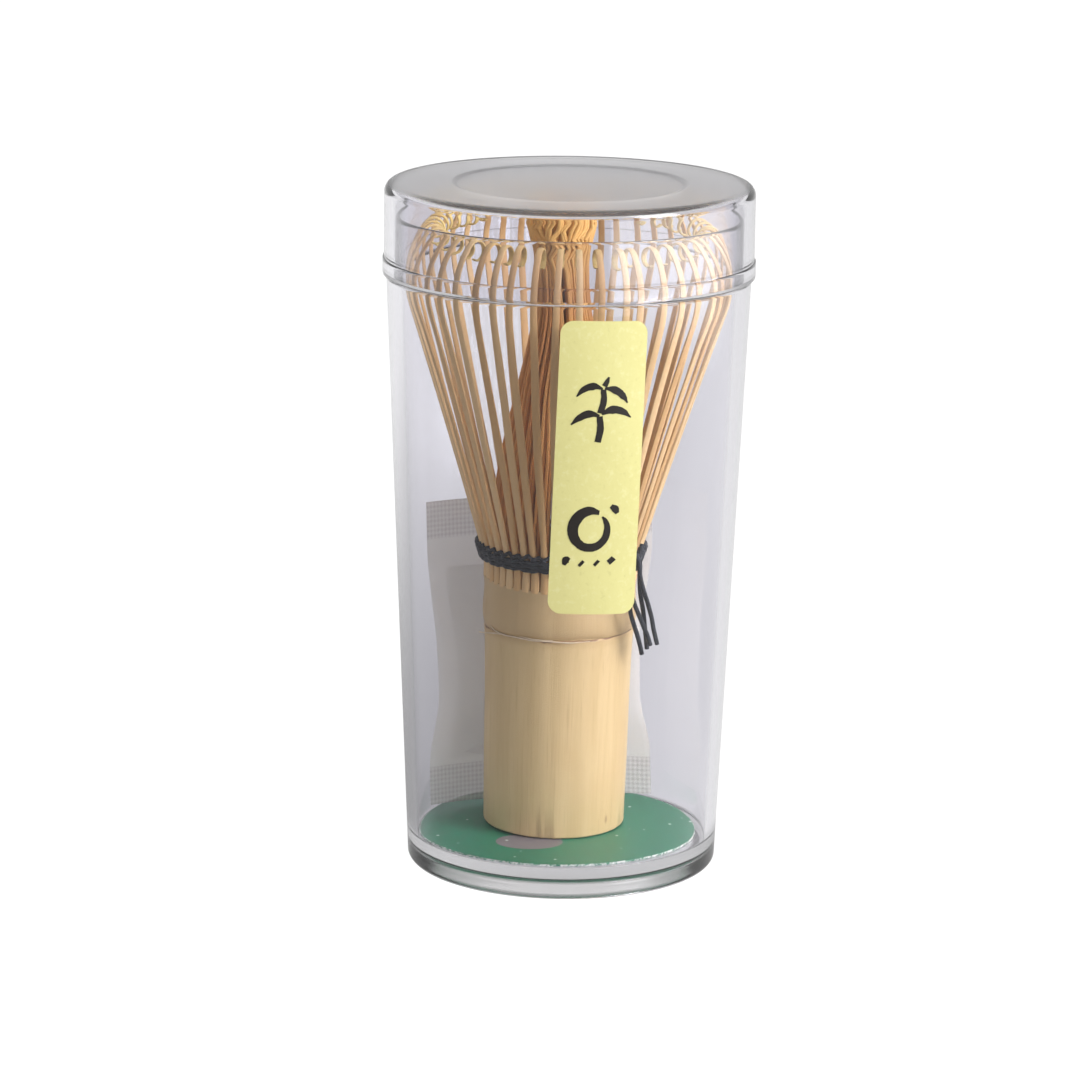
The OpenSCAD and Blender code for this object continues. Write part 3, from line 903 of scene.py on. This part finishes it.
# name, radius of the tuft and of the waist, shift in shares of a tine, whether it stands for the CAD's tines
innerLayers = [("innerTines_%d", 5.75, 4.25, 1.0, True), ("coreTines_%d", 4.5, 3.3, 0.5, False)]


def sectionAt(table, u):
    for (u0, w0, t0), (u1, w1, t1) in zip(table, table[1:]):
        if u <= u1:
            part = (u - u0) / (u1 - u0)
            return w0 + (w1 - w0) * part, t0 + (t1 - t0) * part
    return table[-1][1:]


def straightTine(name, table, lengths):
    # a bevelled slip drawn up in steps, upright on the origin: X is thickness and Y is width
    total = lengths[-1]
    width, thick = sectionAt(table, 0)
    selectNone()
    bpy.ops.mesh.primitive_plane_add(size=1, location=(0, 0, 0))
    piece = bpy.context.object
    piece.name = name
    bpy.ops.object.mode_set(mode="EDIT")
    bpy.ops.mesh.bevel(offset=tines["arris"], affect="VERTICES")
    bpy.ops.transform.resize(value=(thick * mm, width * mm, 1))
    for a, b in zip(lengths, lengths[1:]):
        nextWidth, nextThick = sectionAt(table, b / total)
        bpy.ops.mesh.extrude_region_move(TRANSFORM_OT_translate={"value": (0, 0, (b - a) * mm)})
        bpy.ops.transform.resize(value=(nextThick / thick, nextWidth / width, 1))
        width, thick = nextWidth, nextThick
    bpy.ops.mesh.select_all(action="SELECT")
    bpy.ops.mesh.normals_make_consistent(inside=False)
    bpy.ops.object.mode_set(mode="OBJECT")
    return piece


def outerLine(opening, curl):
    # marches the middle line up: each step is [length, turn inward in degrees, parts]
    t = tines
    steps = [
        (t["sunk"], 0, 2),
        (t["rootRun"] * 0.6, 0, 1),
        (t["rootRun"] * 0.8, -(t["splay"] + opening), 3),
        (t["straight"], 0, 8),
        (math.radians(t["splay"]) * t["splayBend"], t["splay"] + opening, 5),
        (math.radians(t["shoulderTurn"]) * t["shoulderBend"], t["shoulderTurn"], 7),
        (math.radians(t["curlTurn"]) * t["curl"] * curl, t["curlTurn"], 11),
        (math.radians(t["hookTurn"]) * t["hook"] * curl, t["hookTurn"], 9),
    ]
    r, z, turn, along = t["rootRadius"], whisk["slit"] - t["sunk"], 0, 0
    line = [(along, r, z, turn)]
    for length, bend, parts in steps:
        for _ in range(parts):
            middle = math.radians(turn + bend / parts / 2)
            r -= length / parts * math.sin(middle)
            z += length / parts * math.cos(middle)
            turn += bend / parts
            along += length / parts
            line.append((along, r, z, math.radians(turn)))
    return line


def innerLine(tuft, waist, top):
    # leans in to the gathered waist and opens again into the tuft
    slit = whisk["slit"]
    waistZ = whisk["widest"] + tines["waistRise"]
    line = []
    rows = 34
    for i in range(rows + 1):
        z = slit - tines["sunk"] + (top - slit + tines["sunk"]) * i / rows
        u = max(0, (z - slit) / (waistZ - slit - 3))
        opens = ease((z - waistZ) / (whisk["tuft"] - waistZ))
        r = waist + (tines["innerRoot"] - waist) * (1 - ease(u ** 1.3)) + (tuft - waist) * opens
        line.append((z, r))
    full, along = [], 0
    for i, (z, r) in enumerate(line):
        z0, r0 = line[max(0, i - 1)]
        z1, r1 = line[min(rows, i + 1)]
        if i:
            along += math.hypot(z - z0, r - r0)
        full.append((along, r, z, -math.atan2(r1 - r0, z1 - z0)))
    return full


def follow(line, s):
    for a, b in zip(line, line[1:]):
        if s <= b[0]:
            part = (s - a[0]) / (b[0] - a[0])
            return [a[k] + (b[k] - a[k]) * part for k in range(1, 4)]
    return list(line[-1][1:])


def layTine(template, line, turnDegrees, sway, tone, lists=0):
    # bends a copy of the straight tine along its line and turns it to its place round the whisk
    piece = template.copy()
    piece.data = template.data.copy()
    bpy.context.scene.collection.objects.link(piece)
    mesh = piece.data
    total = line[-1][0]
    grain = mesh.attributes.new("grain", "FLOAT_VECTOR", "POINT")
    toneOf = mesh.attributes.new("tone", "FLOAT", "POINT")
    alongOf = mesh.attributes.new("along", "FLOAT", "POINT")
    tall = max(v.co.z for v in mesh.vertices)
    turn = math.radians(turnDegrees)
    for i, vertex in enumerate(mesh.vertices):
        thick, wide, up = vertex.co / mm
        share = up / (tall / mm)
        grain.data[i].vector = ((thick + tone * 37) * mm, (wide + turnDegrees) * mm, up * mm)
        toneOf.data[i].value = tone
        alongOf.data[i].value = share
        r, z, slope = follow(line, share * total)
        r, z = r + thick * math.cos(slope), z + thick * math.sin(slope)
        side = wide + sway(share)
        vertex.co = Vector((r * math.cos(turn) - side * math.sin(turn) + lists * share * share,
                            r * math.sin(turn) + side * math.cos(turn), z)) * mm
    return piece


def outerTines(paint):
    plain = outerLine(0, 1)
    template = straightTine("outerTemplate", outerSection, [row[0] for row in plain])
    dice = random.Random(11)
    count = tines["sectors"] * tines["share"]
    for sector in range(tines["sectors"]):
        group = []
        for k in range(tines["share"]):
            spot = (sector * tines["share"] + k + 0.5) * 360 / count - 90
            wander = dice.uniform(-0.42, 0.42)
            phase = dice.uniform(0, 2 * math.pi)
            bow = dice.uniform(-0.5, 0.5)
            curl = dice.uniform(0.86, 1.02)
            hookSway = dice.uniform(-0.5, 0.5)
            line = outerLine(dice.uniform(-0.45, 0.0), curl)

            def sway(u):
                return (ease(u * 3) * (wander + 0.14 * math.sin(u * 9 + phase) + bow * math.sin(math.pi * u) * 0.5)
                        + hookSway * ease((u - 0.84) / 0.16))
            group.append(layTine(template, line, spot, sway, dice.random()))
        piece = joinAll(group, "outerTines_%d" % (sector + 1))
        smooth(piece, 50)
        lean(piece)
        place(piece, "whisk", "bamboo_outer_tine", paint, "outer_tines_%d" % (sector + 1))
    bpy.data.objects.remove(template)


def innerTines(paint):
    dice = random.Random(23)
    count = tines["sectors"] * tines["share"]
    plain = innerLine(5.7, 4.2, tines["innerTop"])
    template = straightTine("innerTemplate", innerSection, [row[0] for row in plain])
    for title, tuft, waist, offset, stands in innerLayers:
        for sector in range(tines["sectors"]):
            group = []
            for k in range(tines["share"]):
                spot = (sector * tines["share"] + k + offset) * 360 / count - 90
                phase = dice.uniform(-0.35, 0.35) + spot * 0.04
                swing = dice.uniform(0.7, 1.05)
                drift = dice.uniform(-0.35, 0.35)
                line = innerLine(tuft + dice.uniform(-0.25, 0.2), waist + dice.uniform(-0.2, 0.15),
                                 tines["innerTop"] + dice.uniform(-0.5, 0.1))

                def sway(u):
                    wave = math.sin(u * 15 + phase) * 0.35 * ease((u - 0.25) * 3)
                    crimp = math.sin((u - 0.86) * 78 + phase) * swing * ease((u - 0.84) * 12)
                    return wave + crimp + drift * ease(u * 2)
                group.append(layTine(template, line, spot, sway, dice.random(), tines["lists"]))
            piece = joinAll(group, title % (sector + 1))
            smooth(piece, 50)
            lean(piece)
            nodes = ["inner_tines_%d" % (sector + 1)] if stands else []
            place(piece, "whisk", "bamboo_inner_tine", paint, *nodes)
    bpy.data.objects.remove(template)


outerPaint = bambooSplit("bambooOuter", shade(238, 206, 154), shade(214, 172, 116), shade(170, 118, 72),
                         shade(222, 200, 120), 0.86, 0.7)
innerPaint = bambooSplit("bambooInner", shade(224, 170, 104), shade(184, 126, 68), shade(124, 76, 38),
                         shade(242, 196, 116), 0.72, 0.75)
outerTines(outerPaint)
innerTines(innerPaint)
print("tines split and curled")

binding = {
    "thick": 0.8,
    "rows": 4,
    "lowest": 53.97,
    "rise": 0.704,
    "outer": 13.4,      # radius behind the lowest row
    "tilt": 0.45,       # how much higher the front of the band lies
}


def addBinding():
    b = binding
    rows = []
    count = tines["sectors"] * tines["share"]
    for row in range(b["rows"]):
        z = b["lowest"] + row * b["rise"]
        splayed = (z - whisk["slit"] - tines["rootRun"]) * math.tan(math.radians(tines["splay"]))
        radius = b["outer"] + splayed + b["thick"] / 2
        selectNone()
        bpy.ops.mesh.primitive_torus_add(major_segments=count * 8, minor_segments=8, major_radius=radius * mm,
                                         minor_radius=b["thick"] / 2 * mm, location=(0, 0, z * mm))
        piece = settle(bpy.context.object)
        for vertex in piece.data.vertices:
            turn = math.atan2(vertex.co.y, vertex.co.x)
            flat = Vector((math.cos(turn), math.sin(turn), 0))
            passed = (math.degrees(turn) + 90) / 360 * count        # tines passed since the front
            gap = 0.5 - 0.5 * math.cos(passed * 2 * math.pi - math.pi)
            weave = math.cos(passed * math.pi + row * math.pi)
            upper = row == b["rows"] - 1
            vertex.co -= flat * gap * (0.42 if upper else 0.16) * mm
            vertex.co.z += (gap * (0.42 if upper else 0.10) + weave * 0.09 - flat.y * b["tilt"]
                            + noise.noise(vertex.co * 300 + Vector((row, 0, 0))) * 0.1) * mm
        rows.append(piece)
    piece = joinAll(rows, "bindingThread")
    smooth(piece, 60)
    lean(piece)
    return place(piece, "whisk", "thread", threadPaint, "binding_thread")


knot = {
    "turn": 52,         # degrees round the whisk from its front
    "out": 15.6,
    "height": 54.77,
    "loops": [(0.62, 0.5, 0.0), (0.55, -0.6, 0.25)],        # size, tilt and how far out
    "ear": [(-0.2, 0.3, -0.6), (0.1, 0.7, 0.2), (0.1, 1.3, 1.2), (0.0, 1.9, 2.4), (-0.1, 2.5, 3.4)],
    "loopThick": 0.8,
    "earThick": 0.84,
}


def addKnot():
    k = knot
    turn = math.radians(k["turn"] - 90)
    loops = []
    for size, tilt, out in k["loops"]:
        loop = []
        for i in range(8):
            a = i * math.pi / 4
            loop.append((out + 0.18 * math.sin(2 * a), size * 1.25 * math.cos(a),
                         size * 0.8 * math.sin(a) + tilt * math.cos(a) * 0.5))
        loops.append(loop)
    home = leaning @ Matrix.Rotation(turn, 4, "Z") @ Matrix.Translation((k["out"] * mm, 0, k["height"] * mm))
    rounds = curveTube("knotRounds", [[tuple(Vector(p) * mm) for p in loop] for loop in loops],
                       k["loopThick"] / 2 * mm, cyclic=True)
    ear = curveTube("knotEar", [[tuple(Vector(p) * mm) for p in k["ear"]]], k["earThick"] / 2 * mm)
    piece = joinAll([asMesh(rounds), asMesh(ear)], "threadKnot")
    piece.data.transform(home)
    smooth(piece, 60)
    return place(piece, "whisk", "thread", threadPaint, "thread_knot")


addBinding()
addKnot()
print("thread bound")

studio = {
    "floorSize": 8,
    "world": 0.68,
    "key": 10.9,
    "paintedFloorTones": {     # painted light and shade on the floor, which the clear walls show and mirror, and the camera doesn't see
        # painted shade: the floor is darker in front, near the left, and beneath the case
        "front": 0.3,
        "nearLeft": 0.34,
        "farLeft": 0.86,
        "right": 0.78,
        "beneath": 0.5,
        "glow": 3.4,    # a painted glowing patch far away at the right, standing in for a lamp, which the lid's side mirrors
    },
    "keyPlace": (0.82, -0.48, 0.62),
    "keyAim": (0, 0, 0.06),
    "keySize": (0.5, 0.7),
    "bounces": 32,      # the clear walls need many
}


def addStage():
    # the camera sees a white floor, and the clear walls show and mirror a greyer one with painted light and shade
    selectNone()
    bpy.ops.mesh.primitive_plane_add(size=studio["floorSize"], location=(0, 0, -0.00002))
    floor = bpy.context.object
    floor.name = "paleFloor"
    paint = Paint("paleFloor", Roughness=0.8, Base_Color=(0.04, 0.04, 0.04, 1), Emission_Strength=1)
    where = paint.place()
    x, y = paint.axis(where, "X"), paint.axis(where, "Y")
    aside = (x / (y + 0.76)).between(-0.05, 0.04)
    far = y.between(0.03, 0.42)
    grey = {name: (tone, tone, tone, 1) for name, tone in studio["paintedFloorTones"].items()}
    # painted shade: the floor behind is darker on the left near the case
    behind = paint.mix(aside, paint.mix(far, grey["nearLeft"], grey["farLeft"]), grey["right"])
    # painted shade: the floor in front of the case is darker
    paintedFloorLight = paint.mix(y.between(-0.12, 0.02), grey["front"], behind)
    turn = paint.node("ShaderNodeMath", {"operation": "ARCTAN2"}, {0: x, 1: 0 - y})
    reach = (x ** 2 + y ** 2) ** 0.5
    # painted light: a glowing patch of floor far off at the right stands in for a lamp
    glow = reach.between(0.4, 0.46) * turn.between(0.42, 0.47) * (1 - turn.between(1.5, 2.2))
    paintedFloorLight = paint.mix(glow, paintedFloorLight, grey["glow"])
    # painted shadow: the floor beneath the case is darker
    paintedFloorLight = paint.mix(reach.between(0.03, 0.042), grey["beneath"], paintedFloorLight)
    seen = paint.node("ShaderNodeLightPath", out="Is Camera Ray")
    paint.set("Emission Color", paint.mix(seen, paintedFloorLight, (1, 1, 1, 1)))
    floor.data.materials.append(paint.material)
    world = bpy.data.worlds.new("softRoom")
    world.use_nodes = True
    back = world.node_tree.nodes["Background"]
    back.inputs["Color"].default_value = (1, 1, 1, 1)
    back.inputs["Strength"].default_value = studio["world"]
    bpy.context.scene.world = world


def addLight(name, eye, aim, size, power):
    data = bpy.data.lights.new(name, "AREA")
    data.shape = "RECTANGLE"
    data.size, data.size_y = size
    data.energy = power
    light = bpy.data.objects.new(name, data)
    light.location = eye
    light.rotation_euler = (Vector(aim) - Vector(eye)).to_track_quat("-Z", "Y").to_euler()
    bpy.context.scene.collection.objects.link(light)
    return light


addStage()
addLight("keyLight", studio["keyPlace"], studio["keyAim"], studio["keySize"], studio["key"])
bpy.context.scene.cycles.max_bounces = studio["bounces"]
bpy.context.scene.cycles.transmission_bounces = studio["bounces"]
bpy.context.scene.view_settings.view_transform = "Standard"
print("stage lit")

bpy.context.view_layer.update()
